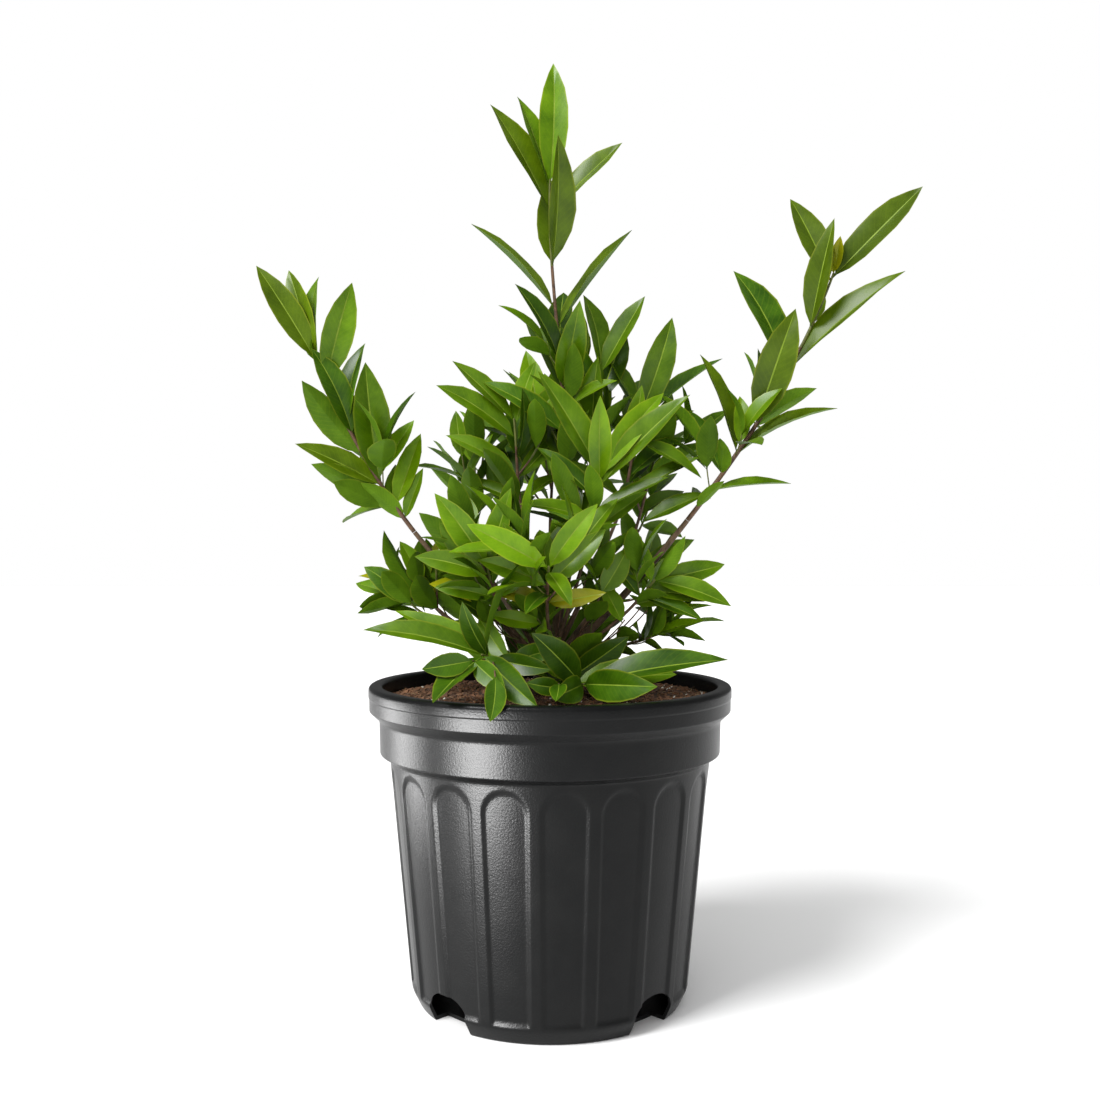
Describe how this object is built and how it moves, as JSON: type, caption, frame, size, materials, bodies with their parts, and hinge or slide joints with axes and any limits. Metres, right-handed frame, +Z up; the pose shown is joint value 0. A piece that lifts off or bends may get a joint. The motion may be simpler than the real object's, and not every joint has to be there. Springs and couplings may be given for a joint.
{
  "type": "potted cherry of the rio grande",
  "caption": "Young evergreen fruit bush with opposite glossy lance-shaped leaves and tall leaders, growing in a black fluted nursery pot.",
  "frame": {"origin": "centre of the pot's flat underside, which stands on the ground", "axes": "+Z up along the pot's axis; the front is -Y and +X is to the viewer's right"},
  "size_m": [0.5069, 0.2927, 0.7246],
  "materials": {
    "pot": "satin black moulded plastic with a fine pebbled texture",
    "soil": "damp dark brown bark and peat potting mix",
    "perlite": "pale rough crumbs in the potting mix",
    "bark": "rough reddish-brown bark",
    "twig": "young green to red-brown stems",
    "leaf": "glossy green upper side with a pale midrib",
    "leaf_underside": "paler satin green"
  },
  "bodies": {
    "root": {"pot": "pot", "soil": "soil", "trunk": "bark", "bough_centre": "bark", "bough_left": "bark", "bough_right": "bark", "bough_upper_left": "bark", "bough_upper_middle": "bark", "bough_upper_right": "bark", "bough_front_upper": "bark", "bough_front_middle": "bark", "bough_front_left": "bark", "bough_front_right": "bark", "bough_back": "bark", "bough_back_left": "bark", "bough_back_right": "bark", "bough_low_left": "bark", "bough_low_right": "bark", "bough_low_back_left": "bark", "bough_low_back_right": "bark", "foliage_left": "leaf", "foliage_right": "leaf", "foliage_centre": "leaf", "foliage_upper_left": "leaf", "foliage_upper_middle": "leaf", "foliage_upper_right": "leaf", "foliage_front_upper": "leaf", "foliage_front_middle": "leaf", "foliage_front_left": "leaf", "foliage_front_right": "leaf", "foliage_back": "leaf", "foliage_back_left": "leaf", "foliage_back_right": "leaf", "foliage_low_left": "leaf", "foliage_low_right": "leaf", "foliage_low_back_left": "leaf", "foliage_low_back_right": "leaf", "foliage_low_front_left": "leaf", "foliage_low_front_right": "leaf", "foliage_low_back": "leaf"}
  },
  "joints": []
}
